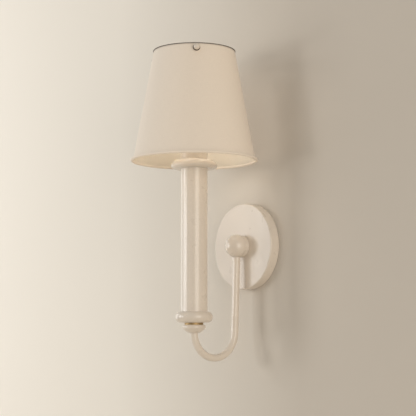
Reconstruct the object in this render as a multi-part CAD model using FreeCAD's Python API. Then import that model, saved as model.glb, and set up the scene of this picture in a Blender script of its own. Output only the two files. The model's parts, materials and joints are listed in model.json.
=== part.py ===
"""Wall light with a ball hub, a J-shaped arm, a turned column and a conical fabric shade.

Millimetres. +Z is up, the wall is the plane Y = 0 and the light stands out along -Y.
The origin is the centre of the backplate on the wall.
"""
import FreeCAD, Part
import math
import os

V = FreeCAD.Vector
Z_AXIS = V(0, 0, 1)
OUTWARD = V(0, -1, 0)
CLEAR = 0.05

# ---- backplate and hub
PLATE_R = 60.0
PLATE_DEPTH = 14.5
PLATE_WALL = 1.8
PLATE_EDGE = 1.6
BALL_R = 16.0
BALL_Y = -25.4
COLLAR_R = 15.2
BALL_FLAT_Z = -15.0
CAVITY_R = 9.0
CAVITY_DEEP = 8.0
COLLAR_CAVITY_R = 10.4
COLLAR_FLOOR = 18.3
COLLAR_ROUND = 0.8
SPOT_R = 7.6
SPOT_Z = -9.0

# ---- bracket and wiring behind the plate
BRACKET_L = 102.0
BRACKET_W = 22.0
BRACKET_T = 2.0
SLOT_X = 35.0
SLOT_W = 5.0
SLOT_L = 14.0
TAB_W, TAB_TOP = 24.0, 28.0
NIPPLE_R = 5.0
NIPPLE_BORE = 3.5
NIPPLE_L = 18.2
WINDOW_W, WINDOW_L, WINDOW_END = 4.8, 6.4, -12.6
NUT_ACROSS, NUT_H = 14.0, 4.0
EARTH_X, EARTH_Z = 20.0, 5.0
EARTH_SCREW_R, EARTH_WASHER_H, EARTH_RING_H = 1.6, 0.8, 1.0
CRIMP_Y, CRIMP_R = -4.3, 1.4
CRIMP_START, CRIMP_END = 12.5, 16.6
LEAD_R = 0.9
LEAD_GAP = 1.15
LEAD_SPLIT_Z = -2.5
TERMINAL_Z = 20.0
TERMINAL_L, TERMINAL_W, TERMINAL_H = 27.0, 14.0, 8.5
TERMINAL_Y = -BRACKET_T - TERMINAL_H / 2
TERMINAL_X = (-9.0, 0.0, 9.0)
TERMINAL_SCREW_Z = (-3.5, 3.5)
TERMINAL_WIRE_R, TERMINAL_WELL_R, TERMINAL_SCREW_R = 1.6, 1.5, 1.45
LEAD_TURN_Y, LEAD_RISE_Z, LEAD_BEND = -9.0, 5.2, 2.0

# ---- arm
REACH = 75.1
TUBE_R = 5.0
TUBE_BORE = 4.0
LEG_LEAN = math.radians(1.92)
STEM_BORE = 2.6
STEM_TOP = -3.0
STEM_END = -23.0
KINK_Z = -25.0
FERRULE_R = 5.7
FERRULE_TOP = -15.4
FERRULE_END = -22.0
BEND_Z = -118.0
SWIVEL_STOP = 30.0
WASHER_R, WASHER_H = 6.8, 1.2
SWIVEL_NUT_ACROSS, SWIVEL_NUT_H = 11.8, 4.5
PIN_R, PIN_OUT, PIN_DEEP = 1.25, 6.2, 3.0
NOTCH_FLOOR_R = 4.85

# ---- column, its axis stands REACH in front of the ball
AXIS_Y = BALL_Y - REACH
COLUMN_R = 18.25
COLUMN_WALL = 2.0
CUP_R = 15.8
CUP_TOP, CUP_END = -109.3, -120.3
GAP_RING_R = 12.6
FOOT_BEAD_R, FOOT_BEAD_Z, FOOT_BEAD_H = 25.5, -99.0, 7.5
TOP_BEAD_R, TOP_BEAD_Z = 31.5, 106.0
TOP_BEAD_UP, TOP_BEAD_DOWN = 8.5, 4.0
TOP_BEAD_ROUND_UP, TOP_BEAD_ROUND_DOWN = 13.0, 6.0
PLUG_H, ROD_NUT_ACROSS, ROD_NUT_H = 6.0, 15.0, 5.0
NECK_TOP = 130.0
ROD_R = 5.0
ROD_BORE = 3.5
COLUMN_FOOT = FOOT_BEAD_Z + FOOT_BEAD_H
COLUMN_TOP = TOP_BEAD_Z - TOP_BEAD_DOWN
NECK_FOOT = TOP_BEAD_Z + TOP_BEAD_UP

# ---- lampholder and bulb
HOLDER_FOOT = NECK_TOP + 2.0
HOLDER_R = 12.0
HOLDER_SHOULDER = 158.0
HOLDER_TOP = 178.0
LEAD_END_Z = HOLDER_FOOT + 15.0
THREAD_R = 13.8
CAP_R = 6.9
GLASS_R = 17.5
GLASS_FOOT = 181.0
GLASS_TOP = 250.0

# ---- shade
SHADE_TOP, SHADE_FOOT = 263.8, 115.2
SHADE_TOP_R, SHADE_FOOT_R = 55.7, 82.9
FABRIC_T = 0.6
BACKING_T = 0.7
RIM_R, RIM_WIRE_R = 2.0, 1.2
RIM_CIRCLE_R, RIM_Z = 84.8, 113.9
FLARE, FLARE_TOP, FLARE_STEPS = 1.7, 123.0, 6
TOP_RING_H = 0.6
TOP_RING_IN, TOP_RING_OUT = 54.9, 56.4
BAND_H, BAND_T = 9.0, 1.2
KNOB_R, KNOB_NECK_R, KNOB_BORE, KNOB_GAP = 4.3, 2.4, 5.6, 1.3
KNOB_WASHER_R, KNOB_WASHER_BORE, KNOB_WASHER_T = 4.8, 2.0, 0.5
STUD_R, STUD_L = 1.4, 8.8
KNOB_Z = 257.6
KNOB_COUNT = 3
KNOB_ANGLE = 54.5
ARM_WIRE_R = 1.6
CARRIER_R, CARRIER_BORE, CARRIER_T = 22.0, 14.2, 1.5
RING_NUT_R, RING_NUT_H = 18.0, 7.0
SHADE_SLOPE = (SHADE_FOOT_R - SHADE_TOP_R) / (SHADE_TOP - SHADE_FOOT)


def save(shape, name):
    """Write one named piece."""
    shape.exportStep(os.path.join("parts", name + ".step"))


def cyl(radius, start, end, base=V(0, 0, 0), axis=Z_AXIS):
    """Solid cylinder between two distances along an axis from a base point."""
    return Part.makeCylinder(radius, end - start, base + axis * start, axis)


def ring(outer, inner, start, end, base=V(0, 0, 0), axis=Z_AXIS):
    """Tube or washer between two distances along an axis."""
    return cyl(outer, start, end, base, axis).cut(cyl(inner, start - 1, end + 1, base, axis))


def hex_nut(across, bore, start, end, base=V(0, 0, 0), axis=Z_AXIS):
    """Hexagonal nut, its thread shown as a plain bore."""
    corner = across / math.sqrt(3.0)
    points = [V(corner * math.cos(math.radians(60 * i)), corner * math.sin(math.radians(60 * i)), 0)
              for i in range(7)]
    prism = Part.Face(Part.makePolygon(points)).extrude(V(0, 0, end - start))
    prism.Placement = FreeCAD.Placement(base + axis * start, FreeCAD.Rotation(Z_AXIS, axis))
    return prism.cut(cyl(bore, start - 1, end + 1, base, axis))


def column_base(z=0.0):
    """Point on the column's axis."""
    return V(0, AXIS_Y, z)


def turned(edges):
    """Solid turned about the column's axis from a closed outline in the plane X = radius."""
    face = Part.Face(Part.Wire(edges))
    return face.revolve(column_base(), Z_AXIS, 360)


def at(radius, z):
    """Outline point at a radius and a height."""
    return V(radius, AXIS_Y, z)


def line(a, b):
    return Part.makeLine(a, b)


def quarter(centre_r, centre_z, radial, high, lower=False):
    """Quarter ellipse from the level of its centre to its top or foot."""
    flat = V(1, 0, 0) * radial
    tall = V(0, 0, -high if lower else high)
    centre = at(centre_r, centre_z)
    half = math.sqrt(0.5)
    if abs(radial - high) < 1e-6:
        return Part.Arc(centre + flat, centre + flat * half + tall * half, centre + tall).toShape()
    points = [centre + flat * math.cos(a) + tall * math.sin(a)
              for a in (math.radians(9.0 * i) for i in range(11))]
    curve = Part.BSplineCurve()
    curve.interpolate(points)
    return curve.toShape()


def bead(radius, z, up, down, round_up, round_down, bore):
    """Turned bead: flat on both ends, its rim rounded by two quarter ellipses."""
    upper = quarter(radius - round_up, z, round_up, up)
    lower = quarter(radius - round_down, z, round_down, down, lower=True)
    top, foot = z + up, z - down
    edges = [upper, line(at(radius - round_up, top), at(bore, top)), line(at(bore, top), at(bore, foot)),
             line(at(bore, foot), at(radius - round_down, foot)), lower]
    return turned(Part.__sortEdges__(edges))


def shade_radius(z):
    """Outer radius of the fabric at a height: a cone that flares a little into the rim."""
    straight = SHADE_TOP_R + (SHADE_TOP - z) * SHADE_SLOPE
    below = max(0.0, FLARE_TOP - z) / (FLARE_TOP - RIM_Z)
    return straight + FLARE * below ** 2


def shade_side(foot, top, inset):
    """Outline of one face of the shade from its foot to its top, inset from the fabric's outer face."""
    edges = []
    if foot < FLARE_TOP:
        heights = [foot + (FLARE_TOP - foot) * i / FLARE_STEPS for i in range(FLARE_STEPS + 1)]
        curve = Part.BSplineCurve()
        curve.interpolate([at(shade_radius(z) - inset, z) for z in heights])
        edges.append(curve.toShape())
        foot = FLARE_TOP
    edges.append(line(at(shade_radius(foot) - inset, foot), at(shade_radius(top) - inset, top)))
    return edges


def cone_shell(foot, top, inset, thick):
    """Conical shell that follows the shade, inset from the fabric's outer face."""
    edges = shade_side(foot, top, inset) + shade_side(foot, top, inset + thick)
    for z in (foot, top):
        edges.append(line(at(shade_radius(z) - inset, z), at(shade_radius(z) - inset - thick, z)))
    return turned(Part.__sortEdges__(edges))


def swept(points, radius, bend):
    """Round wire along straight runs joined by tangent arcs of one radius."""
    edges = []
    last = points[0]
    for before, corner, after in zip(points, points[1:], points[2:]):
        u = (before - corner).normalize()
        w = (after - corner).normalize()
        half_turn = (math.pi - u.getAngle(w)) / 2
        cut = bend * math.tan(half_turn)
        start, end = corner + u * cut, corner + w * cut
        middle = corner + (u + w).normalize() * (bend / math.cos(half_turn) - bend)
        edges += [line(last, start), Part.Arc(start, middle, end).toShape()]
        last = end
    edges.append(line(last, points[-1]))
    path = Part.Wire(edges)
    circle = Part.Wire(Part.makeCircle(radius, points[0], points[1] - points[0]))
    return path.makePipeShell([circle], True, False)


# ---------------------------------------------------------------- wall side
def earth_point():
    """Where the earth screw's axis meets the wall plane."""
    return V(EARTH_X, 0, EARTH_Z)


def wall_bracket():
    """Steel strap with two wall slots, a tapped centre hole, an earth hole and a terminal tab."""
    strap = Part.makeBox(BRACKET_L, BRACKET_T, BRACKET_W, V(-BRACKET_L / 2, -BRACKET_T, -BRACKET_W / 2))
    tab_foot = BRACKET_W / 2 - 1
    strap = strap.fuse(Part.makeBox(TAB_W, BRACKET_T, TAB_TOP - tab_foot, V(-TAB_W / 2, -BRACKET_T, tab_foot)))
    strap = strap.cut(cyl(NIPPLE_R, -1, BRACKET_T + 1, axis=OUTWARD))
    strap = strap.cut(cyl(EARTH_SCREW_R, -1, BRACKET_T + 1, earth_point(), OUTWARD))
    for side in (-1, 1):
        corner = V(side * SLOT_X - (SLOT_L - SLOT_W) / 2, -3, -SLOT_W / 2)
        slot = Part.makeBox(SLOT_L - SLOT_W, 4, SLOT_W, corner)
        for end in (-1, 1):
            centre = V(side * SLOT_X + end * (SLOT_L - SLOT_W) / 2, 0, 0)
            slot = slot.fuse(cyl(SLOT_W / 2, -1, 3, centre, OUTWARD))
        strap = strap.cut(slot)
    return strap


def backplate():
    """Round dish, open at the wall, with a rounded front edge and a centre hole."""
    dish = cyl(PLATE_R, 0, PLATE_DEPTH, axis=OUTWARD)
    front = [e for e in dish.Edges if e.Length > 100 and abs(e.CenterOfMass.y + PLATE_DEPTH) < 0.1]
    dish = dish.makeFillet(PLATE_EDGE, front)
    dish = dish.cut(cyl(PLATE_R - PLATE_WALL, -1, PLATE_DEPTH - PLATE_WALL, axis=OUTWARD))
    return dish.cut(cyl(NIPPLE_R + 0.2, 0, PLATE_DEPTH + 1, axis=OUTWARD))


def hub_joint():
    """Distance from the wall to the brazed joint between the collar and the ball."""
    return -BALL_Y - math.sqrt(BALL_R ** 2 - COLLAR_R ** 2)


def hub_collar():
    """Round stub between the plate and the ball, tapped on the nipple and hollow towards the ball."""
    body = cyl(COLLAR_R, PLATE_DEPTH, hub_joint(), axis=OUTWARD)
    body = body.makeFillet(COLLAR_ROUND, [e for e in body.Edges if len(e.Vertexes) == 1])
    body = body.cut(cyl(COLLAR_CAVITY_R, COLLAR_FLOOR, hub_joint() + 1, axis=OUTWARD))
    return body.cut(cyl(NIPPLE_R, 0, hub_joint() + 1, axis=OUTWARD))


def hub_ball():
    """Ball end: open at the back, with a flat seat and a bearing hole for the arm below."""
    centre = V(0, BALL_Y, 0)
    size = 4 * BALL_R
    ball = Part.makeSphere(BALL_R, centre)
    ball = ball.cut(Part.makeBox(size, size, size, V(-size / 2, -hub_joint(), -size / 2)))
    ball = ball.cut(Part.makeBox(size, size, size, V(-size / 2, BALL_Y - size / 2, BALL_FLAT_Z - size)))
    ball = ball.cut(cyl(CAVITY_R, hub_joint() - 1, -BALL_Y + CAVITY_DEEP, axis=OUTWARD))
    ball = ball.cut(cyl(SPOT_R, SPOT_Z, 0, centre))
    ball = ball.cut(cyl(TUBE_BORE + CLEAR, -2 * BALL_R, 0, centre))
    return ball.cut(cyl(PIN_R, SPOT_Z - PIN_DEEP, 0, pin_foot()))


def nipple():
    """Hollow threaded tube with a side window that lets the leads out behind the plate."""
    tube = ring(NIPPLE_R, NIPPLE_BORE, 0, NIPPLE_L, axis=OUTWARD)
    window = Part.makeBox(WINDOW_W, WINDOW_L, 2 * NIPPLE_R, V(-WINDOW_W / 2, WINDOW_END, 0))
    return tube.cut(window)


def nipple_nut():
    return hex_nut(NUT_ACROSS, NIPPLE_R, BRACKET_T, BRACKET_T + NUT_H, axis=OUTWARD)


def screw(shank_r, head_r, length, head_h, base, axis):
    """Pan head screw with a cross slot, its head on the far side of the base point."""
    body = cyl(shank_r, -length, 0.2, base, axis).fuse(cyl(head_r, 0, head_h, base, axis))
    rise = FreeCAD.Rotation(Z_AXIS, axis)
    for turn in (0, 90):
        bar = Part.makeBox(head_r * 1.4, head_r * 0.3, head_h, V(-head_r * 0.7, -head_r * 0.15, head_h * 0.5))
        bar.rotate(V(0, 0, 0), Z_AXIS, turn)
        bar.Placement = FreeCAD.Placement(base, rise).multiply(bar.Placement)
        body = body.cut(bar)
    return body


def earth_screw():
    stack = BRACKET_T + EARTH_WASHER_H + EARTH_RING_H
    return screw(EARTH_SCREW_R, 2 * EARTH_SCREW_R, stack - 0.2, 1.8, earth_point() + OUTWARD * stack, OUTWARD)


def earth_washer():
    return ring(3.8, EARTH_SCREW_R + CLEAR, BRACKET_T, BRACKET_T + EARTH_WASHER_H, earth_point(), OUTWARD)


def earth_terminal():
    """Ring terminal under the screw's head, with a crimp barrel for the earth lead."""
    back = BRACKET_T + EARTH_WASHER_H
    bore = EARTH_SCREW_R + CLEAR
    eye = cyl(3.4, back, back + EARTH_RING_H, earth_point(), OUTWARD)
    tongue = Part.makeBox(EARTH_X - CRIMP_END, EARTH_RING_H, 2 * CRIMP_R,
                          V(CRIMP_END - 1, -back - EARTH_RING_H, EARTH_Z - CRIMP_R))
    barrel_axis = V(1, 0, 0)
    barrel = cyl(CRIMP_R, CRIMP_START, CRIMP_END, V(0, CRIMP_Y, EARTH_Z), barrel_axis)
    terminal = eye.fuse([tongue, barrel]).cut(cyl(bore, 0, 2 * back, earth_point(), OUTWARD))
    return terminal.cut(cyl(LEAD_R + CLEAR, 0, CRIMP_END - 0.5, V(0, CRIMP_Y, EARTH_Z), barrel_axis))


def terminal_block():
    """Three-way terminal block with wire holes and screw wells."""
    low = V(-TERMINAL_L / 2, -BRACKET_T - TERMINAL_H, TERMINAL_Z - TERMINAL_W / 2)
    block = Part.makeBox(TERMINAL_L, TERMINAL_H, TERMINAL_W, low)
    block = block.makeFillet(0.6, [e for e in block.Edges if abs(e.Length - TERMINAL_H) < 0.01])
    for x in TERMINAL_X:
        block = block.cut(cyl(TERMINAL_WIRE_R, -TERMINAL_W, TERMINAL_W, V(x, TERMINAL_Y, TERMINAL_Z)))
        for z in TERMINAL_SCREW_Z:
            well = V(x, 0, TERMINAL_Z + z)
            block = block.cut(cyl(TERMINAL_WELL_R, BRACKET_T + 1, 2 * TERMINAL_H, well, OUTWARD))
    return block


def terminal_screws():
    """Six grub screws in the block."""
    screws = []
    for x in TERMINAL_X:
        for z in TERMINAL_SCREW_Z:
            well = V(x, 0, TERMINAL_Z + z)
            screws.append(cyl(TERMINAL_SCREW_R, -TERMINAL_Y + LEAD_R + 0.1, 10.0, well, OUTWARD))
    return Part.makeCompound(screws)


def wall_leads():
    """Two leads from the middle of the ball through the nipple and its window to the block."""
    leads = []
    for side, way in zip((-1, 1), TERMINAL_X):
        x = side * LEAD_GAP
        points = [V(x, BALL_Y, LEAD_SPLIT_Z), V(x, BALL_Y, 0), V(x, LEAD_TURN_Y, 0),
                  V(x, LEAD_TURN_Y, LEAD_RISE_Z), V(way, TERMINAL_Y, 9.6), V(way, TERMINAL_Y, TERMINAL_Z)]
        leads.append(swept(points, LEAD_R, LEAD_BEND))
    return Part.makeCompound(leads)


def earth_lead():
    """Short lead from the ring terminal to the third way of the block."""
    way = TERMINAL_X[2]
    points = [V(CRIMP_END - 0.6, CRIMP_Y, EARTH_Z), V(10.5, CRIMP_Y, EARTH_Z),
              V(way, TERMINAL_Y, 8.4), V(way, TERMINAL_Y, TERMINAL_Z)]
    return swept(points, LEAD_R, 1.8)


def pin_foot():
    """The stop pin's axis, at the height of the ball's centre."""
    return V(0, BALL_Y - PIN_OUT, 0)


def stop_pin():
    """Dowel in the ball's floor that the washer's notch turns against."""
    return cyl(PIN_R, SPOT_Z - PIN_DEEP, SPOT_Z + 1.0, pin_foot())


# ---------------------------------------------------------------- arm
def swivel_stem():
    return ring(TUBE_BORE, STEM_BORE, STEM_END, STEM_TOP, V(0, BALL_Y, 0))


def swivel_washer():
    """Washer keyed to the stem, notched so that the stop pin limits the swing."""
    centre = V(0, BALL_Y, 0)
    washer = ring(WASHER_R, TUBE_BORE, SPOT_Z + 0.1, SPOT_Z + 0.1 + WASHER_H, centre)
    half = math.radians(SWIVEL_STOP) + math.asin(PIN_R / PIN_OUT) + 0.02
    reach = 1.3 * WASHER_R
    corner = [centre, centre + V(-reach * math.sin(half), -reach * math.cos(half), 0),
              centre + V(0, -reach / math.cos(half / 2), 0),
              centre + V(reach * math.sin(half), -reach * math.cos(half), 0), centre]
    wedge = Part.Face(Part.makePolygon(corner)).extrude(V(0, 0, 4 * WASHER_H))
    wedge.translate(V(0, 0, SPOT_Z - WASHER_H))
    notch = wedge.cut(cyl(NOTCH_FLOOR_R, SPOT_Z - 4 * WASHER_H, SPOT_Z + 4 * WASHER_H, centre))
    return washer.cut(notch)


def swivel_nut():
    foot = SPOT_Z + 0.1 + WASHER_H
    return hex_nut(SWIVEL_NUT_ACROSS, TUBE_BORE, foot, foot + SWIVEL_NUT_H, V(0, BALL_Y, 0))


def leg_ferrule():
    body = ring(FERRULE_R, TUBE_R, FERRULE_END, FERRULE_TOP, V(0, BALL_Y, 0))
    rims = [e for e in body.Edges if abs(e.Length - 2 * math.pi * FERRULE_R) < 0.01]
    return body.makeFillet(0.45, rims)


def arm_path():
    """Centre line of the tube: short vertical start, leaning leg, round bend, column side."""
    lean = V(0, -math.sin(LEG_LEAN), -math.cos(LEG_LEAN))
    start = V(0, BALL_Y, FERRULE_TOP - 0.4)
    kink = V(0, BALL_Y, KINK_Z)
    run = AXIS_Y - BALL_Y
    drop = KINK_Z - BEND_Z
    bend = (-run * math.cos(LEG_LEAN) - drop * math.sin(LEG_LEAN)) / (1 + math.cos(LEG_LEAN))
    centre = V(0, AXIS_Y + bend, BEND_Z)
    leg_end = centre + V(0, bend * math.cos(LEG_LEAN), -bend * math.sin(LEG_LEAN))
    foot = V(0, AXIS_Y, BEND_Z)
    angles = [-LEG_LEAN - (math.pi - LEG_LEAN) * f for f in (0.25, 0.5, 0.75)]
    on_bend = [centre + V(0, bend * math.cos(a), bend * math.sin(a)) for a in angles]
    return start, kink, lean, leg_end, on_bend, foot, bend


def arm_wire(shift=0.0, start_z=None, end_z=CUP_END + 8.0):
    """The tube's centre line as a wire, shifted along X."""
    start, kink, lean, leg_end, on_bend, foot, bend = arm_path()
    ease = 3.0
    before, after = kink + V(0, 0, ease), kink + lean * ease
    middle = (before + after + kink * 6) * 0.125
    top = start if start_z is None else V(0, BALL_Y, start_z)
    end = V(0, AXIS_Y, end_z)
    edges = [line(top, before), Part.Arc(before, middle, after).toShape(), line(after, leg_end),
             Part.Arc(leg_end, on_bend[0], on_bend[1]).toShape(),
             Part.Arc(on_bend[1], on_bend[2], foot).toShape(), line(foot, end)]
    wire = Part.Wire(edges)
    wire.translate(V(shift, 0, 0))
    return wire


def pipe(wire, radius):
    start = wire.OrderedVertexes[0].Point
    circle = Part.Wire(Part.makeCircle(radius, start, Z_AXIS))
    return wire.makePipeShell([circle], True, False)


def arm_tube():
    """Steel tube bent to a J, hollow for the leads."""
    return pipe(arm_wire(), TUBE_R).cut(pipe(arm_wire(), TUBE_BORE))


def arm_leads():
    """Two leads from the ball through the stem, the tube and the tie rod to the lampholder."""
    return Part.makeCompound([pipe(arm_wire(side * LEAD_GAP, LEAD_SPLIT_Z - CLEAR, LEAD_END_Z), LEAD_R)
                              for side in (-1, 1)])


def arm_cup():
    """Small cup under the column: a short band on a rounded bowl, bored for the tube and the rod."""
    band = 3.6
    widest = CUP_TOP - band
    middle = at((CUP_R + TUBE_R + 2.0) / 2 + 0.6, (widest + CUP_END) / 2 - 0.7)
    bowl = Part.Arc(at(CUP_R, widest), middle, at(TUBE_R + 2.0, CUP_END)).toShape()
    edges = [line(at(TUBE_R, CUP_TOP), at(CUP_R - 1.2, CUP_TOP)),
             Part.Arc(at(CUP_R - 1.2, CUP_TOP), at(CUP_R - 0.25, CUP_TOP - 1.6), at(CUP_R, widest)).toShape(),
             bowl, line(at(TUBE_R + 2.0, CUP_END), at(TUBE_R, CUP_END)),
             line(at(TUBE_R, CUP_END), at(TUBE_R, CUP_TOP))]
    return turned(Part.__sortEdges__(edges))


def gap_ring():
    return ring(GAP_RING_R, ROD_R + 0.2, CUP_TOP, FOOT_BEAD_Z - FOOT_BEAD_H, column_base())


def foot_bead():
    return bead(FOOT_BEAD_R, FOOT_BEAD_Z, FOOT_BEAD_H, FOOT_BEAD_H, FOOT_BEAD_H, FOOT_BEAD_H, ROD_R + 0.2)


def column_tube():
    return ring(COLUMN_R, COLUMN_R - COLUMN_WALL, COLUMN_FOOT, COLUMN_TOP, column_base())


def column_plug(foot, top):
    """Disc that centres a tube on the tie rod."""
    return ring(COLUMN_R - COLUMN_WALL - 0.05, ROD_R + 0.2, foot, top, column_base())


def top_bead():
    return bead(TOP_BEAD_R, TOP_BEAD_Z, TOP_BEAD_UP, TOP_BEAD_DOWN, TOP_BEAD_ROUND_UP, TOP_BEAD_ROUND_DOWN,
                ROD_R + 0.2)


def neck_tube():
    return ring(COLUMN_R, COLUMN_R - COLUMN_WALL, NECK_FOOT, NECK_TOP, column_base())


def neck_cap():
    """Cover disc on the neck with a spigot inside it."""
    disc = cyl(COLUMN_R, NECK_TOP, HOLDER_FOOT, column_base())
    disc = disc.makeChamfer(0.6, [e for e in disc.Edges if abs(e.CenterOfMass.z - HOLDER_FOOT) < 0.01])
    disc = disc.fuse(cyl(COLUMN_R - COLUMN_WALL - 0.05, NECK_TOP - 3, NECK_TOP + 0.5, column_base()))
    return disc.cut(cyl(ROD_R + 0.2, NECK_TOP - 9, HOLDER_FOOT + 9, column_base()))


def tie_rod():
    return ring(ROD_R, ROD_BORE, CUP_END + 8.2, HOLDER_FOOT + 6.0, column_base())


def rod_nut(foot, top):
    return hex_nut(ROD_NUT_ACROSS, ROD_R, foot, top, column_base())


# ---------------------------------------------------------------- lampholder and bulb
def lampholder_base():
    """Dome that screws on the tie rod."""
    foot = HOLDER_FOOT
    body = Part.makeCone(ROD_R + 4.0, HOLDER_R, 6.0, column_base(foot)).fuse(
        cyl(HOLDER_R, foot + 6.0, foot + 12.0, column_base()))
    body = body.cut(cyl(HOLDER_R - 1.6, foot + 7.5, foot + 13.0, column_base()))
    return body.cut(cyl(ROD_R, foot - 1, foot + 8, column_base()))


def lampholder_body():
    """Insulating body: lower sleeve, shoulder for the shade carrier and threaded skirt."""
    foot = HOLDER_FOOT + 12.0
    body = cyl(HOLDER_R, foot, HOLDER_SHOULDER - 3.0, column_base())
    body = body.fuse(cyl(16.5, HOLDER_SHOULDER - 3.0, HOLDER_SHOULDER, column_base()))
    body = body.fuse(cyl(THREAD_R, HOLDER_SHOULDER, HOLDER_TOP, column_base()))
    for i in range(4):
        z = HOLDER_SHOULDER + 4.0 + 3.6 * i
        body = body.cut(ring(THREAD_R + 1, THREAD_R - 0.5, z, z + 1.6, column_base()))
    for side in (-1, 1):
        body = body.cut(cyl(LEAD_R + 0.1, foot - 1, LEAD_END_Z, column_base() + V(side * LEAD_GAP, 0, 0)))
    return body.cut(cyl(CAP_R + 0.6, foot + 6.0, HOLDER_TOP + 1, column_base()))


def lampholder_contacts():
    """Centre tongue and screw shell contact strip, as two solids."""
    foot = HOLDER_FOOT + 18.0
    centre = cyl(2.2, foot, foot + 2.4, column_base())
    strip = ring(CAP_R + 0.6, CAP_R + 0.3, foot + 10.0, foot + 24.0, column_base())
    strip = strip.common(Part.makeBox(4, 20, 60, V(-2, AXIS_Y, foot)))
    return Part.makeCompound([centre, strip])


def bulb_cap():
    """Screw cap, its thread shown as rounded turns."""
    foot = HOLDER_FOOT + 23.0
    body = cyl(CAP_R - 0.5, foot, GLASS_FOOT + 1.0, column_base())
    for i in range(6):
        body = body.fuse(Part.makeTorus(CAP_R - 0.75, 0.75, column_base(foot + 2.0 + 2.8 * i)))
    return body


def bulb_contact():
    """Insulator and solder tip under the cap."""
    foot = HOLDER_FOOT + 20.5
    return Part.makeCone(2.4, CAP_R - 1.6, 2.5, column_base(foot))


def glass_outline(inset):
    """Candle outline from the cap up to the rounded tip."""
    wide, mid = GLASS_R - inset, 205.0
    tip = GLASS_TOP - inset
    points = [at(7.2 - inset, GLASS_FOOT), at(11.5 - inset, 188.0), at(wide - 0.8, 197.5), at(wide, mid),
              at(wide - 2.4, 220.0), at(wide - 7.8, 235.0), at(4.2, 246.6 - inset), at(0.001, tip)]
    curve = Part.BSplineCurve()
    curve.interpolate(points)
    return curve.toShape(), points


def bulb_glass():
    """Thin candle envelope."""
    solids = []
    for inset in (0.0, 0.9):
        edge, points = glass_outline(inset)
        foot, top = at(0, GLASS_FOOT), at(0, points[-1].z)
        solids.append(turned([edge, line(points[-1], top), line(top, foot), line(foot, points[0])]))
    return solids[0].cut(solids[1])


def filaments():
    """Glass stem with four LED filament sticks on it, one solid each."""
    stem = cyl(2.6, GLASS_FOOT + 1.0, 201.0, column_base()).fuse(cyl(0.5, 201.0, 229.0, column_base()))
    sticks = [stem]
    for i in range(4):
        a = math.radians(45 + 90 * i)
        foot = column_base(203.0) + V(3.0 * math.cos(a), 3.0 * math.sin(a), 0)
        head = column_base(227.0) + V(5.4 * math.cos(a), 5.4 * math.sin(a), 0)
        sticks.append(Part.makeCylinder(0.7, (head - foot).Length, foot, head - foot))
    return Part.makeCompound(sticks)


# ---------------------------------------------------------------- shade
def knob_direction(index):
    """Unit vector from the axis to a knob, the first one just right of the viewer."""
    a = math.radians(KNOB_ANGLE + 360.0 / KNOB_COUNT * index)
    return V(math.sin(a), -math.cos(a), 0)


def carrier_plate():
    """Round plate clamped between the lampholder's shoulder and the ring nut."""
    z = HOLDER_SHOULDER + 0.05
    return ring(CARRIER_R, CARRIER_BORE, z, z + CARRIER_T, column_base())


def carrier_arms():
    """Three wires from the carrier plate up to the band inside the shade's top."""
    arms = []
    z = HOLDER_SHOULDER + 0.05 + CARRIER_T
    for i in range(KNOB_COUNT):
        d = knob_direction(i)
        top_r = shade_radius(KNOB_Z) - FABRIC_T - BACKING_T - BAND_T - ARM_WIRE_R - 0.55
        points = [column_base(z + ARM_WIRE_R) + d * (CARRIER_R - 3.0), column_base(z + ARM_WIRE_R) + d * 27.0,
                  column_base(KNOB_Z - 10.0) + d * top_r, column_base(KNOB_Z + 3.0) + d * top_r]
        arms.append(swept(points, ARM_WIRE_R, 5.0))
    return Part.makeCompound(arms)


def top_band():
    """Steel band inside the shade's top edge."""
    return cone_shell(KNOB_Z - BAND_H / 2, KNOB_Z + BAND_H / 2, FABRIC_T + BACKING_T, BAND_T)


def knob_studs():
    """Three threaded studs through the band, the backing and the fabric."""
    studs = []
    for i in range(KNOB_COUNT):
        d = knob_direction(i)
        inner = shade_radius(KNOB_Z) - FABRIC_T - BACKING_T - BAND_T - 1.5
        studs.append(cyl(STUD_R, inner, inner + STUD_L, column_base(KNOB_Z), d))
    return Part.makeCompound(studs)


def with_stud_holes(shell):
    """The shell with a hole where each stud comes through."""
    for i in range(KNOB_COUNT):
        shell = shell.cut(cyl(STUD_R + 2 * CLEAR, SHADE_TOP_R / 2, SHADE_FOOT_R, column_base(KNOB_Z),
                              knob_direction(i)))
    return shell


def thumb_knob(index):
    """Round knob with a short neck, blind bored for its stud. It is turned upright, then set in place."""
    centre = KNOB_R - 0.3
    knob = Part.makeSphere(KNOB_R, V(0, 0, centre)).fuse(cyl(KNOB_NECK_R, 0, centre))
    knob = knob.cut(cyl(2 * KNOB_R, -KNOB_R, 0)).cut(cyl(STUD_R + CLEAR, -1, KNOB_BORE))
    d = knob_direction(index)
    foot = column_base(KNOB_Z) + d * (shade_radius(KNOB_Z) + KNOB_GAP)
    knob.Placement = FreeCAD.Placement(foot, FreeCAD.Rotation(Z_AXIS, d))
    return knob


def knob_washers():
    """Three dark washers that lie on the cone under the knobs."""
    washers = []
    for i in range(KNOB_COUNT):
        d = knob_direction(i)
        normal = (d + V(0, 0, SHADE_SLOPE)).normalize()
        foot = column_base(KNOB_Z) + d * (shade_radius(KNOB_Z) + CLEAR)
        washers.append(ring(KNOB_WASHER_R, KNOB_WASHER_BORE, 0, KNOB_WASHER_T, foot, normal))
    return Part.makeCompound(washers)


def top_ring():
    """Thin dark ring that closes the fabric's top edge."""
    return ring(TOP_RING_OUT, TOP_RING_IN, SHADE_TOP, SHADE_TOP + TOP_RING_H, column_base())


def rim_circle():
    """Radius and height of the rolled rim's own centre line."""
    return RIM_CIRCLE_R, RIM_Z


def bottom_wire():
    radius, z = rim_circle()
    return Part.makeTorus(radius, RIM_WIRE_R, column_base(z))


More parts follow.
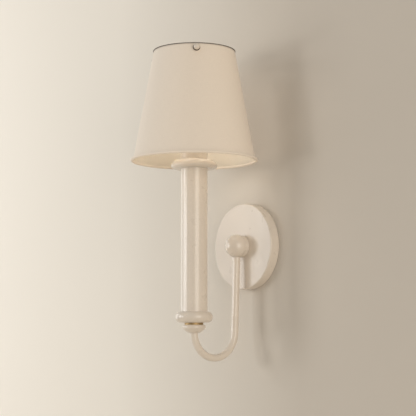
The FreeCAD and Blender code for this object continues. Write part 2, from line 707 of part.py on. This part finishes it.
def rolled_rim():
    """Binding rolled round the bottom wire, proud of the cone."""
    radius, z = rim_circle()
    roll = Part.makeTorus(radius, RIM_R, column_base(z))
    return roll.cut(Part.makeTorus(radius, RIM_WIRE_R + 0.02, column_base(z)))


def shade_layer(inset, thick):
    """One layer of the cone, from the rolled rim up to the top ring."""
    radius, z = rim_circle()
    layer = cone_shell(RIM_Z, SHADE_TOP, inset, thick)
    return with_stud_holes(layer.cut(Part.makeTorus(radius, RIM_R, column_base(z))))


def shade_ring_nut():
    """Ring nut that clamps the carrier plate on the lampholder's thread."""
    foot = HOLDER_SHOULDER + CARRIER_T + 0.1
    nut = ring(RING_NUT_R, THREAD_R + 0.05, foot, foot + RING_NUT_H, column_base())
    for i in range(24):
        a = math.radians(15 * i)
        nut = nut.cut(cyl(0.7, foot - 1, foot + RING_NUT_H + 1,
                          column_base() + V(math.cos(a), math.sin(a), 0) * (RING_NUT_R + 0.25)))
    return nut


def main():
    os.makedirs("parts", exist_ok=True)
    pieces = {
        "wall_bracket": wall_bracket(),
        "backplate": backplate(),
        "hub_collar": hub_collar(),
        "hub_ball": hub_ball(),
        "threaded_nipple": nipple(),
        "nipple_nut": nipple_nut(),
        "earth_screw": earth_screw(),
        "earth_washer": earth_washer(),
        "earth_terminal": earth_terminal(),
        "terminal_block": terminal_block(),
        "terminal_screws": terminal_screws(),
        "wall_leads": wall_leads(),
        "earth_lead": earth_lead(),
        "swivel_stop_pin": stop_pin(),
        "swivel_stem": swivel_stem(),
        "swivel_washer": swivel_washer(),
        "swivel_nut": swivel_nut(),
        "leg_ferrule": leg_ferrule(),
        "arm_tube": arm_tube(),
        "arm_leads": arm_leads(),
        "arm_cup": arm_cup(),
        "gap_ring": gap_ring(),
        "foot_bead": foot_bead(),
        "column_tube": column_tube(),
        "lower_column_plug": column_plug(COLUMN_FOOT, COLUMN_FOOT + PLUG_H),
        "upper_column_plug": column_plug(COLUMN_TOP - PLUG_H, COLUMN_TOP),
        "lower_rod_nut": rod_nut(COLUMN_FOOT + PLUG_H, COLUMN_FOOT + PLUG_H + ROD_NUT_H),
        "upper_rod_nut": rod_nut(NECK_FOOT, NECK_FOOT + ROD_NUT_H),
        "tie_rod": tie_rod(),
        "top_bead": top_bead(),
        "neck_tube": neck_tube(),
        "neck_cap": neck_cap(),
        "lampholder_base": lampholder_base(),
        "lampholder_body": lampholder_body(),
        "lampholder_contacts": lampholder_contacts(),
        "bulb_cap": bulb_cap(),
        "bulb_contact": bulb_contact(),
        "bulb_glass": bulb_glass(),
        "bulb_filaments": filaments(),
        "shade_ring_nut": shade_ring_nut(),
        "carrier_plate": carrier_plate(),
        "carrier_arms": carrier_arms(),
        "top_band": with_stud_holes(top_band()),
        "knob_studs": knob_studs(),
        "knob_washers": knob_washers(),
        "shade_backing": shade_layer(FABRIC_T, BACKING_T),
        "shade_fabric": shade_layer(0.0, FABRIC_T),
        "top_ring": top_ring(),
        "bottom_wire": bottom_wire(),
        "rolled_rim": rolled_rim(),
    }
    for i in range(KNOB_COUNT):
        pieces["thumb_knob_%d" % (i + 1)] = thumb_knob(i)
    for name, shape in pieces.items():
        save(shape, name)
        box = shape.BoundBox
        print("%-22s solids %d valid %s volume %9.1f  z %7.1f to %7.1f" % (
            name, len(shape.Solids), shape.isValid(), shape.Volume, box.ZMin, box.ZMax))


main()
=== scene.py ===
"""Wall light with a ball hub, a J-shaped arm, a turned column and a conical fabric shade.

Metres, in the row frame: the wall is the plane Y = 0, +Z is up and the room lies towards -Y.
"""
import json
import math

import bpy
from mathutils import Matrix, Vector


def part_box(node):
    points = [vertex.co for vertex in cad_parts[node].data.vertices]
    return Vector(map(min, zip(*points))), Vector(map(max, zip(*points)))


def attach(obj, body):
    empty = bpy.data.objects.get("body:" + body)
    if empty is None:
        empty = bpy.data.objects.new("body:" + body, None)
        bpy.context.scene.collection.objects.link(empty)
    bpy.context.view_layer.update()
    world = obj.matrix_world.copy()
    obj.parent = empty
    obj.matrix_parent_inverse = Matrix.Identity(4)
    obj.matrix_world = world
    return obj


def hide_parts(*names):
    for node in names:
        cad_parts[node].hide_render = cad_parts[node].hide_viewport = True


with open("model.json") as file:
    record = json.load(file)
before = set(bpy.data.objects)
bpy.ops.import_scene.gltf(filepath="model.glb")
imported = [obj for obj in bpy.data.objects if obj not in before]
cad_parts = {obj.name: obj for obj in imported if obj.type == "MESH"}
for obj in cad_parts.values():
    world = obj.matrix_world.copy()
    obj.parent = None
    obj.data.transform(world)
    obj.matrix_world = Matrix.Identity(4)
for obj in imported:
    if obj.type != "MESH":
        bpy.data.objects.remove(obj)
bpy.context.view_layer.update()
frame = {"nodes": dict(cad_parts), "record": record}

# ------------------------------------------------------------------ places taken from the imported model
def middle(node):
    """Centre of a CAD node's box."""
    low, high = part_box(node)
    return (low + high) / 2


AXIS_Y = middle("column_tube").y
SHADE_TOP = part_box("shade_fabric")[1].z
RIM_Z = middle("rolled_rim").z
RIM_TUBE_R = (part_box("rolled_rim")[1].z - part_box("rolled_rim")[0].z) / 2
RIM_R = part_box("rolled_rim")[1].x - RIM_TUBE_R
RING_PROUD = 0.0007
SHADE_TOP_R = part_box("top_ring")[1].x - RING_PROUD
FLARE, FLARE_TOP = 0.0017, 0.123
SHADE_FOOT_R = RIM_R - FLARE
SLOPE = (SHADE_FOOT_R - SHADE_TOP_R) / (SHADE_TOP - RIM_Z)
CLOTH_T = 0.00055


# ------------------------------------------------------------------ material kit
class Nodes:
    """Short way to add and join shader nodes in one material."""

    def __init__(self, name):
        self.mat = bpy.data.materials.new(name)
        self.mat.use_nodes = True
        self.tree = self.mat.node_tree
        self.tree.nodes.clear()

    def add(self, kind, **settings):
        node = self.tree.nodes.new("ShaderNode" + kind)
        for key, value in settings.items():
            if hasattr(node, key):
                setattr(node, key, value)
            else:
                node.inputs[key.replace("_", " ")].default_value = value
        return node

    def join(self, source, target):
        self.tree.links.new(source, target)

    def position(self):
        """Object space place, in metres; every CAD node's object sits at the origin."""
        return self.add("TexCoord").outputs["Object"]

    def math(self, operation, a, b):
        node = self.add("Math", operation=operation)
        for socket, value in zip(node.inputs, (a, b)):
            if isinstance(value, (int, float)):
                socket.default_value = value
            else:
                self.join(value, socket)
        return node.outputs[0]

    def noise(self, scale, detail=3.0, rough=0.55, place=None):
        node = self.add("TexNoise", Scale=scale, Detail=detail, Roughness=rough)
        self.join(place or self.position(), node.inputs["Vector"])
        return node.outputs["Fac"]

    def ramp(self, fac, stops):
        node = self.add("ValToRGB")
        ramp = node.color_ramp
        while len(ramp.elements) < len(stops):
            ramp.elements.new(0.5)
        for element, (place, colour) in zip(ramp.elements, stops):
            element.position = place
            element.color = (*colour, 1.0)
        self.join(fac, node.inputs["Fac"])
        return node.outputs["Color"]

    def bump(self, height, strength, distance, normal=None):
        node = self.add("Bump", Strength=strength, Distance=distance)
        self.join(height, node.inputs["Height"])
        if normal is not None:
            self.join(normal, node.inputs["Normal"])
        return node.outputs["Normal"]

    def surface(self, colour, roughness, normal=None, **uniform):
        shader = self.add("BsdfPrincipled")
        for key, value in uniform.items():
            shader.inputs[key.replace("_", " ")].default_value = value
        for value, name in ((colour, "Base Color"), (roughness, "Roughness"), (normal, "Normal")):
            if value is None:
                continue
            if isinstance(value, (int, float, tuple)):
                shader.inputs[name].default_value = value if not isinstance(value, tuple) else (*value, 1.0)
            else:
                self.join(value, shader.inputs[name])
        out = self.add("OutputMaterial")
        self.join(shader.outputs["BSDF"], out.inputs["Surface"])
        return self.mat


def tint(colour, factor):
    return tuple(min(1.0, c * factor) for c in colour)


def ranged(nodes, fac, low, high):
    """Map a 0 to 1 value to a plain range."""
    node = nodes.add("MapRange", From_Min=0.3, From_Max=0.7, To_Min=low, To_Max=high)
    nodes.join(fac, node.inputs["Value"])
    return node.outputs["Result"]


def enamel(name, colour, shine=(0.26, 0.36), orange_peel=0.06):
    """Sprayed glossy enamel: faint orange peel, a little tone drift and edges worn paler in specks."""
    n = Nodes(name)
    cloud = n.noise(22.0, 4.0)
    body = n.ramp(cloud, ((0.25, tint(colour, 0.985)), (0.75, tint(colour, 1.01))))
    edge = n.add("NewGeometry").outputs["Pointiness"]
    worn = n.ramp(edge, ((0.535, (0, 0, 0)), (0.60, (1, 1, 1))))
    speck = n.ramp(n.noise(420.0, 2.0), ((0.50, (0, 0, 0)), (0.62, (1, 1, 1))))
    mask = n.math("MULTIPLY", n.math("MULTIPLY", worn, speck), 0.35)
    mix = n.add("Mix", data_type="RGBA")
    n.join(mask, mix.inputs[0])
    n.join(body, mix.inputs[6])
    mix.inputs[7].default_value = (*tint(colour, 1.10), 1.0)
    fine = n.noise(1500.0, 2.0)
    broad = n.noise(260.0, 2.0)
    normal = n.bump(broad, orange_peel, 0.00022, n.bump(fine, orange_peel, 0.00006))
    return n.surface(mix.outputs[2], ranged(n, n.noise(60.0, 3.0), *shine), normal,
                     IOR=1.5, Coat_Weight=0.60, Coat_Roughness=0.14)


WAVES_PER_SCALE = 20.0


def metal(name, colour, roughness=(0.28, 0.42), brush=None, metallic=1.0, thread=None):
    """Plated or bare metal, with drawing lines along one axis and an optional thread pitch along it."""
    n = Nodes(name)
    place = n.position()
    stretch = n.add("Mapping")
    stretch.inputs["Scale"].default_value = brush or (1.0, 1.0, 1.0)
    n.join(place, stretch.inputs["Vector"])
    lines = n.noise(900.0, 3.0, place=stretch.outputs["Vector"])
    stain = n.noise(70.0, 4.0)
    body = n.ramp(stain, ((0.25, tint(colour, 0.82)), (0.75, tint(colour, 1.08))))
    normal = n.bump(lines, 0.12, 0.00008)
    if thread:
        axis, pitch = thread
        wave = n.add("TexWave", wave_type="BANDS", bands_direction=axis, wave_profile="TRI")
        wave.inputs["Scale"].default_value = 1.0 / (WAVES_PER_SCALE * pitch)
        n.join(place, wave.inputs["Vector"])
        normal = n.bump(wave.outputs["Fac"], 0.9, 0.0004, normal)
    return n.surface(body, ranged(n, lines, *roughness), normal, Metallic=metallic)


def plastic(name, colour, roughness=(0.36, 0.5), grain=0.10):
    """Moulded plastic with a fine spark grain and slight flow marks."""
    n = Nodes(name)
    body = n.ramp(n.noise(40.0, 3.0), ((0.25, tint(colour, 0.96)), (0.75, tint(colour, 1.03))))
    normal = n.bump(n.noise(1900.0, 2.0), grain, 0.00006)
    return n.surface(body, ranged(n, n.noise(120.0, 2.0), *roughness), normal)


def wound(nodes):
    """Place on the shade's surface: way round the axis, then height, both in metres."""
    place = nodes.position()
    split = nodes.add("SeparateXYZ")
    nodes.join(place, split.inputs[0])
    angle = nodes.math("ARCTAN2", split.outputs["X"], nodes.math("SUBTRACT", AXIS_Y, split.outputs["Y"]))
    around = nodes.math("MULTIPLY", angle, (SHADE_TOP_R + SHADE_FOOT_R) / 2)
    return around, split.outputs["Z"]


SLUB_STRETCH = 14.0


def cloth(name, colour, pitch=0.00042, depth=0.00004, sheen=0.12):
    """Fine plain weave with slubs that run round and up the shade."""
    n = Nodes(name)
    around, up = wound(n)
    turn = 2 * math.pi / pitch
    warp = n.math("SINE", n.math("MULTIPLY", around, turn), 0.0)
    weft = n.math("SINE", n.math("MULTIPLY", up, turn), 0.0)
    weave = n.math("MULTIPLY", n.math("ADD", n.math("MULTIPLY", warp, weft), 1.0), 0.5)
    flat = n.add("CombineXYZ")
    n.join(around, flat.inputs["X"])
    n.join(n.math("MULTIPLY", up, SLUB_STRETCH), flat.inputs["Y"])
    weft_slub = n.noise(130.0, 3.0, place=flat.outputs[0])
    tall = n.add("CombineXYZ")
    n.join(n.math("MULTIPLY", around, SLUB_STRETCH), tall.inputs["X"])
    n.join(up, tall.inputs["Y"])
    warp_slub = n.noise(130.0, 3.0, place=tall.outputs[0])
    slub = n.math("MULTIPLY", n.math("ADD", weft_slub, warp_slub), 0.5)
    body = n.ramp(slub, ((0.32, tint(colour, 0.965)), (0.68, tint(colour, 1.022))))
    height = n.math("ADD", n.math("MULTIPLY", weave, 0.6), n.math("MULTIPLY", slub, 0.9))
    normal = n.bump(height, 0.35, depth)
    return n.surface(body, ranged(n, weave, 0.62, 0.8), normal,
                     Sheen_Weight=sheen, Sheen_Roughness=0.45, Specular_IOR_Level=0.30)


CREAM = (0.722, 0.640, 0.546)
SHADE_CREAM = (0.850, 0.752, 0.640)
MATERIALS = {
    "cream_paint": enamel("cream_enamel", CREAM),
    "shade_cloth": cloth("shade_linen", SHADE_CREAM),
    "shade_lining": plastic("shade_lining", (0.80, 0.72, 0.60), (0.55, 0.7)),
    "zinc_steel": metal("zinc_plate", (0.60, 0.60, 0.57)),
    "white_wire": enamel("carrier_enamel", (0.80, 0.75, 0.67), (0.35, 0.5)),
    "dark_bronze": metal("dark_bronze", (0.062, 0.036, 0.014), (0.60, 0.75), metallic=0.1),
    "aged_brass": metal("aged_brass", (0.50, 0.36, 0.19), (0.45, 0.60)),
    "holder_plastic": plastic("holder_plastic", (0.80, 0.75, 0.68)),
    "white_plastic": plastic("white_plastic", (0.82, 0.81, 0.78)),
    "lead_sleeve": plastic("lead_sleeve", (0.30, 0.16, 0.09), (0.4, 0.55)),
    "bulb_cap": metal("cap_metal", (0.78, 0.77, 0.74), (0.22, 0.34), brush=(1.0, 1.0, 8.0)),
    "filament": plastic("filament_phosphor", (0.88, 0.66, 0.24), (0.5, 0.7)),
}


def bulb_glass():
    """Clear envelope with a trace of warm frost."""
    n = Nodes("bulb_glass")
    tone = n.ramp(n.noise(30.0, 2.0), ((0.3, (0.93, 0.91, 0.87)), (0.7, (0.97, 0.955, 0.92))))
    return n.surface(tone, ranged(n, n.noise(90.0, 2.0), 0.10, 0.20), None,
                     IOR=1.45, Transmission_Weight=0.85)


MATERIALS["bulb_glass"] = bulb_glass()
PITCH = 0.001
THREADED = {"threaded_nipple": ("Y", PITCH), "tie_rod": ("Z", PITCH), "swivel_stem": ("Z", PITCH)}
THREAD_STEEL = (0.62, 0.61, 0.57)
SLOTS = {row["node"]: row["material_slot"] for row in frame["record"]["subparts"]}


def dress(node, obj):
    """Give one carried-over CAD node its finish."""
    mat = MATERIALS[SLOTS[node]]
    if node in THREADED:
        mat = metal(node + "_thread", THREAD_STEEL, thread=THREADED[node])
    if not obj.material_slots:
        obj.data.materials.append(mat)
    for place in obj.material_slots:
        place.material = mat


for node_name, node_object in frame["nodes"].items():
    dress(node_name, node_object)


# ------------------------------------------------------------------ shade cover
def mesh_object(name, points, faces, material, body):
    """Smooth mesh with a finish and the body it rides on."""
    mesh = bpy.data.meshes.new(name)
    mesh.from_pydata([tuple(p) for p in points], [], faces)
    mesh.update()
    for polygon in mesh.polygons:
        polygon.use_smooth = True
    obj = bpy.data.objects.new(name, mesh)
    bpy.context.scene.collection.objects.link(obj)
    obj.data.materials.append(material)
    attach(obj, body)
    return obj


def cone_point(angle, z, proud=0.0):
    """Point on the shade, its angle measured from the room side towards +X."""
    below = max(0.0, FLARE_TOP - z) / (FLARE_TOP - RIM_Z)
    radius = SHADE_TOP_R + (SHADE_TOP - z) * SLOPE + FLARE * below ** 2 + proud
    return Vector((radius * math.sin(angle), AXIS_Y - radius * math.cos(angle), z))


COVER_STEPS, COVER_ROWS = 288, 72
SEAM, LAP = math.radians(182.0), math.radians(5.5)
RISE_SHARE = 6.0
WOBBLE, WOBBLE_TURNS, WOBBLE_UP = 0.00008, 3.0, 60.0


def shade_cover():
    """One cut of cloth wrapped round the cone, its end lapped over its start at the wall side."""
    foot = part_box("shade_fabric")[0].z
    turn = 2 * math.pi + LAP
    points, faces = [], []
    for i in range(COVER_STEPS + 1):
        way = turn * i / COVER_STEPS
        angle = SEAM + way
        over = max(0.0, (way - 2 * math.pi) / LAP)
        lift = CLOTH_T * min(1.0, over * RISE_SHARE)
        for j in range(COVER_ROWS + 1):
            up = j / COVER_ROWS
            z = foot + (SHADE_TOP - foot) * up
            wobble = WOBBLE * math.sin(WOBBLE_TURNS * angle + WOBBLE_UP * z) * math.sin(math.pi * up)
            points.append(cone_point(angle, z, lift + wobble))
    for i in range(COVER_STEPS):
        for j in range(COVER_ROWS):
            a = i * (COVER_ROWS + 1) + j
            faces.append((a, a + COVER_ROWS + 1, a + COVER_ROWS + 2, a + 1))
    obj = mesh_object("shade_cover", points, faces, MATERIALS["shade_cloth"], "shade")
    thick = obj.modifiers.new("cloth", "SOLIDIFY")
    thick.thickness = CLOTH_T
    thick.offset = -1.0
    return obj


cover = shade_cover()
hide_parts("shade_fabric")


# ------------------------------------------------------------------ room, lamps and camera
def stage_mesh(name, corners, faces, material):
    """Flat piece of the room."""
    mesh = bpy.data.meshes.new(name)
    mesh.from_pydata(corners, [], faces)
    obj = bpy.data.objects.new(name, mesh)
    bpy.context.scene.collection.objects.link(obj)
    obj.data.materials.append(material)


def plaster(name, tones, reach):
    """Matt paint, its colour ramped along X; on the wall the ramp is painted light, pale on the left and
    darker to the right where the light from the left falls off. Seen from behind it lets the camera
    through.
    """
    n = Nodes(name)
    split = n.add("SeparateXYZ")
    n.join(n.position(), split.inputs[0])
    share = n.add("MapRange", From_Min=reach[0], From_Max=reach[1])
    n.join(split.outputs["X"], share.inputs["Value"])
    tone = n.ramp(share.outputs["Result"], tones)
    normal = n.bump(n.noise(340.0, 4.0), 0.08, 0.0003)
    mat = n.surface(tone, 0.85, normal, Specular_IOR_Level=0.2)
    shader = next(x for x in n.tree.nodes if x.type == "BSDF_PRINCIPLED")
    out = next(x for x in n.tree.nodes if x.type == "OUTPUT_MATERIAL")
    clear = n.add("BsdfTransparent")
    mix = n.add("MixShader")
    seen = n.add("LightPath").outputs["Is Camera Ray"]
    behind = n.math("MULTIPLY", n.add("NewGeometry").outputs["Backfacing"], seen)
    n.join(behind, mix.inputs[0])
    n.join(shader.outputs[0], mix.inputs[1])
    n.join(clear.outputs[0], mix.inputs[2])
    n.join(mix.outputs[0], out.inputs["Surface"])
    return mat


# Painted light: the wall is paler on the left and darker towards +X, standing in for the fall-off of the
# light from the lamps on the left.
WALL_PAINTED_FALLOFF = ((0.0, (0.94, 0.89, 0.81)), (0.38, (0.87, 0.82, 0.74)), (0.80, (0.60, 0.545, 0.475)))
WALL = plaster("wall_paint_and_painted_falloff", WALL_PAINTED_FALLOFF, (-0.70, 0.30))
FLOOR = plaster("floor_paint", ((0.0, (0.78, 0.73, 0.66)), (1.0, (0.72, 0.67, 0.60))), (-1.0, 1.0))
FLOOR_Z, ROOM_TOP, ROOM_HALF, ROOM_DEEP = -1.15, 3.0, 4.0, 5.0
WALL_Y, BOX_HOLE_R, HOLE_STEPS = 0.0004, 0.052, 48


def wall_sheet():
    """Wall with the round box opening that the plate covers."""
    inner, outer = [], []
    for i in range(HOLE_STEPS):
        angle = 2 * math.pi * i / HOLE_STEPS
        c, s = math.cos(angle), math.sin(angle)
        inner.append((BOX_HOLE_R * c, WALL_Y, BOX_HOLE_R * s))
        reach = 1.0 / max(abs(c), abs(s))
        outer.append((ROOM_HALF * c * reach, WALL_Y, max(FLOOR_Z, ROOM_TOP * s * reach)))
    faces = [(i, HOLE_STEPS + i, HOLE_STEPS + (i + 1) % HOLE_STEPS, (i + 1) % HOLE_STEPS)
             for i in range(HOLE_STEPS)]
    stage_mesh("wall", inner + outer, faces, WALL)


wall_sheet()
stage_mesh("floor", [(-ROOM_HALF, -ROOM_DEEP, FLOOR_Z), (ROOM_HALF, -ROOM_DEEP, FLOOR_Z),
                     (ROOM_HALF, WALL_Y, FLOOR_Z), (-ROOM_HALF, WALL_Y, FLOOR_Z)], [(0, 1, 2, 3)], FLOOR)


NEUTRAL = (1.0, 1.0, 0.99)
WARM = (1.0, 0.93, 0.84)
GLOW = (1.0, 0.99, 0.98)
GLOW_POWER, GLOW_R, GLOW_Z, GLOW_SOFT = 0.036, 0.036, 0.190, 0.008
AMBIENT, AMBIENT_LEVEL = (1.0, 0.975, 0.93), 0.44


def lamp(name, place, target, size, power, colour):
    """Rectangular area lamp aimed at a point."""
    data = bpy.data.lights.new(name, "AREA")
    data.shape = "RECTANGLE"
    data.size, data.size_y = size
    data.energy = power
    data.color = colour
    obj = bpy.data.objects.new(name, data)
    bpy.context.scene.collection.objects.link(obj)
    obj.location = place
    obj.visible_camera = False
    obj.rotation_mode = "QUATERNION"
    obj.rotation_quaternion = (Vector(place) - Vector(target)).to_track_quat("Z", "Y")
    return obj


HUB, MIDDLE, RIGHT = (0.0, 0.0, 0.0), (-0.05, -0.05, 0.05), (0.0, -0.1, 0.05)
lamp("key", (-0.78, -2.05, 0.12), HUB, (0.36, 0.36), 4.2, NEUTRAL)
side = lamp("side", (-1.45, -1.75, 0.25), MIDDLE, (0.6, 1.1), 11.0, NEUTRAL)
lamp("far", (-2.1, -0.55, 0.25), MIDDLE, (0.9, 1.6), 7.0, NEUTRAL)
lamp("fill", (2.3, -0.5, 0.1), RIGHT, (1.6, 1.8), 25.0, WARM)


def spare_shade_shadow(obj):
    """Keep one lamp's shadow of the shade off the wall; the other pieces still cast theirs."""
    casters = bpy.data.collections.new("side_shadow")
    for node in frame["nodes"]:
        if SLOTS[node] not in ("shade_cloth", "shade_lining"):
            casters.objects.link(frame["nodes"][node])
    obj.light_linking.blocker_collection = casters


spare_shade_shadow(side)


def shade_glow():
    """Three small lamps round the bulb, carried by the arm: the low light inside the shade."""
    for turn in (0, 120, 240):
        data = bpy.data.lights.new("glow", "POINT")
        data.energy = GLOW_POWER
        data.color = GLOW
        data.shadow_soft_size = GLOW_SOFT
        obj = bpy.data.objects.new("glow", data)
        bpy.context.scene.collection.objects.link(obj)
        angle = math.radians(turn)
        obj.parent = frame["nodes"]["lampholder_body"]
        bpy.context.view_layer.update()
        obj.matrix_world = Matrix.Translation(
            (GLOW_R * math.sin(angle), AXIS_Y - GLOW_R * math.cos(angle), GLOW_Z))
        obj.visible_camera = False


shade_glow()

world = bpy.data.worlds.new("studio")
bpy.context.scene.world = world
world.use_nodes = True
background = world.node_tree.nodes["Background"]
background.inputs["Color"].default_value = (*AMBIENT, 1.0)
background.inputs["Strength"].default_value = AMBIENT_LEVEL


SENSOR_MM, LENS_MM = 36.0, 109.04
CAMERA_AT = (1.3302, -1.1607, -0.1242)
AZIMUTH, RISE = math.radians(50.81), math.radians(5.8)


def aim_camera():
    """The photograph's camera: a long lens, turned to the light's right and a little below it."""
    data = bpy.data.cameras.new("camera")
    data.sensor_width = SENSOR_MM
    data.lens = LENS_MM
    camera = bpy.data.objects.new("camera", data)
    bpy.context.scene.collection.objects.link(camera)
    flat = math.cos(RISE)
    forward = Vector((-math.sin(AZIMUTH) * flat, math.cos(AZIMUTH) * flat, math.sin(RISE)))
    camera.location = CAMERA_AT
    camera.rotation_mode = "QUATERNION"
    camera.rotation_quaternion = forward.to_track_quat("-Z", "Y")
    bpy.context.scene.camera = camera


aim_camera()
bpy.context.scene.view_settings.view_transform = "Standard"
